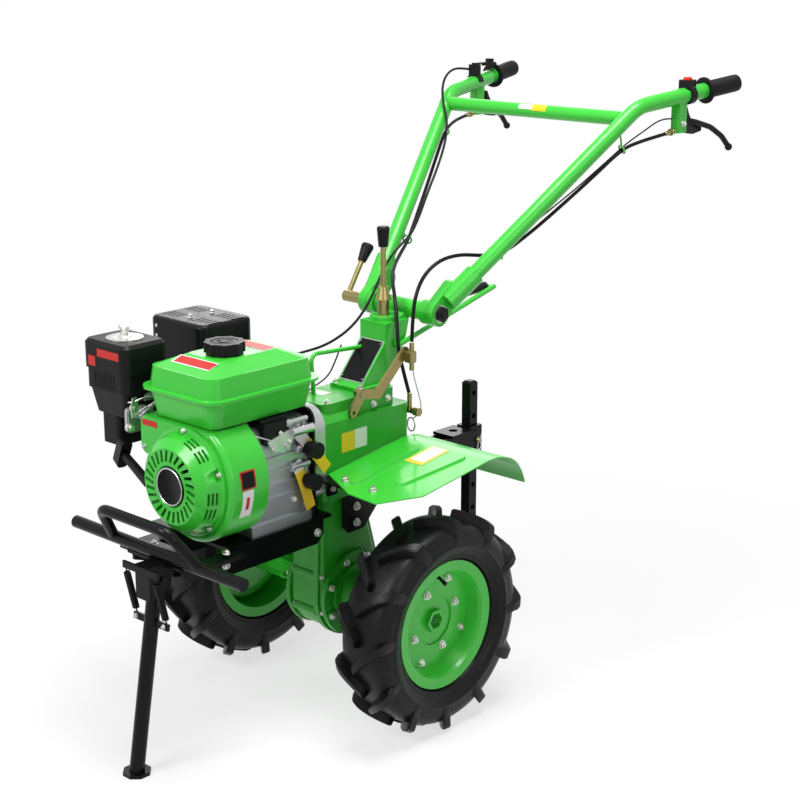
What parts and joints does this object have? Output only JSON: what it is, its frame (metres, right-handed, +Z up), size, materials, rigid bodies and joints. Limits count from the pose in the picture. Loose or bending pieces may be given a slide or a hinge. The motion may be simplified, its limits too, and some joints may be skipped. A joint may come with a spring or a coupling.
{
  "type": "walk-behind power tiller",
  "caption": "Walk-behind power tiller with an engine ahead of a gearbox, lugged drive wheels, raked handlebar, folding front stand and a rear hitch with a depth stake.",
  "frame": {"origin": "on the floor, under the middle of the overall length, in the machine's centre plane", "axes": "+Z up, the engine faces -Y, the operator stands at +Y, the machine's left side is +X"},
  "size_m": [0.6034, 1.3567, 1.1209],
  "materials": {
    "green_paint": "gloss",
    "black_paint": "satin",
    "tyre_rubber": "matte",
    "cast_alloy": "cast",
    "green_casting": "painted cast",
    "steel": "satin",
    "yellow_zinc": "passivated",
    "black_plastic": "satin",
    "grip_rubber": "matte",
    "cable_sleeve": "gloss"
  },
  "bodies": {
    "chassis": {"air_cleaner": "black_plastic", "bumper": "black_paint", "carburettor": "cast_alloy", "clutch_arm": "yellow_zinc", "clutch_housing": "cast_alloy", "crankcase": "cast_alloy", "cylinder": "cast_alloy", "drive_cover_left": "green_casting", "drive_cover_right": "green_casting", "engine_frame": "black_paint", "engine_plate": "black_paint", "fan_housing": "green_paint", "fender_brackets": "black_paint", "fender_left": "green_paint", "fender_right": "green_paint", "flywheel_fan": "black_plastic", "fuel_cap": "black_plastic", "fuel_tank": "green_paint", "gear_lever": "yellow_zinc", "gearbox": "green_casting", "governor_control": "steel", "handle_column": "green_paint", "hitch": "black_paint", "ignition_unit": "black_plastic", "lever_knobs": "black_plastic", "muffler": "black_paint", "oil_plugs": "black_plastic", "recoil_handle": "black_plastic", "recoil_starter": "green_paint", "reverse_lever": "green_paint", "shift_stud": "yellow_zinc", "stand_bracket": "black_paint"},
    "wheels": {"axle_shaft": "steel", "hub_left": "green_paint", "hub_right": "green_paint", "rim_left": "green_paint", "rim_right": "green_paint", "tyre_left": "tyre_rubber", "tyre_right": "tyre_rubber"},
    "stand": {"stand_leg": "black_paint", "stand_springs": "black_paint"},
    "stake": {"depth_stake": "black_paint"},
    "handlebar": {"handle_tubes": "green_paint", "handle_arm_left": "green_paint", "handle_arm_right": "green_paint", "clamp_crank": "yellow_zinc", "grip_left": "grip_rubber", "grip_right": "grip_rubber", "lever_brackets": "green_paint", "hand_lever_left": "black_plastic", "hand_lever_right": "black_plastic", "throttle_lever": "black_plastic", "kill_switch": "black_plastic", "clutch_cable": "cable_sleeve", "shift_cable": "cable_sleeve", "throttle_cable": "cable_sleeve"}
  },
  "joints": [
    {"name": "wheel_spin", "type": "hinge", "parent": "chassis", "child": "wheels", "pos_m": [0, -0.1715, 0.201], "axis": [1, 0, 0], "continuous": true},
    {"name": "stand_fold", "type": "hinge", "parent": "chassis", "child": "stand", "pos_m": [0, -0.5955, 0.34], "axis": [1, 0, 0], "range_deg": [0, 80], "deforming": ["stand_springs"]},
    {"name": "handlebar_height", "type": "hinge", "parent": "chassis", "child": "handlebar", "pos_m": [0, 0.012, 0.705], "axis": [1, 0, 0], "range_deg": [-20, 25], "deforming": ["clutch_cable", "shift_cable", "throttle_cable"]},
    {"name": "stake_depth", "type": "slide", "parent": "chassis", "child": "stake", "axis": [0, 0, 1], "range_m": [-0.09, 0.09]}
  ]
}
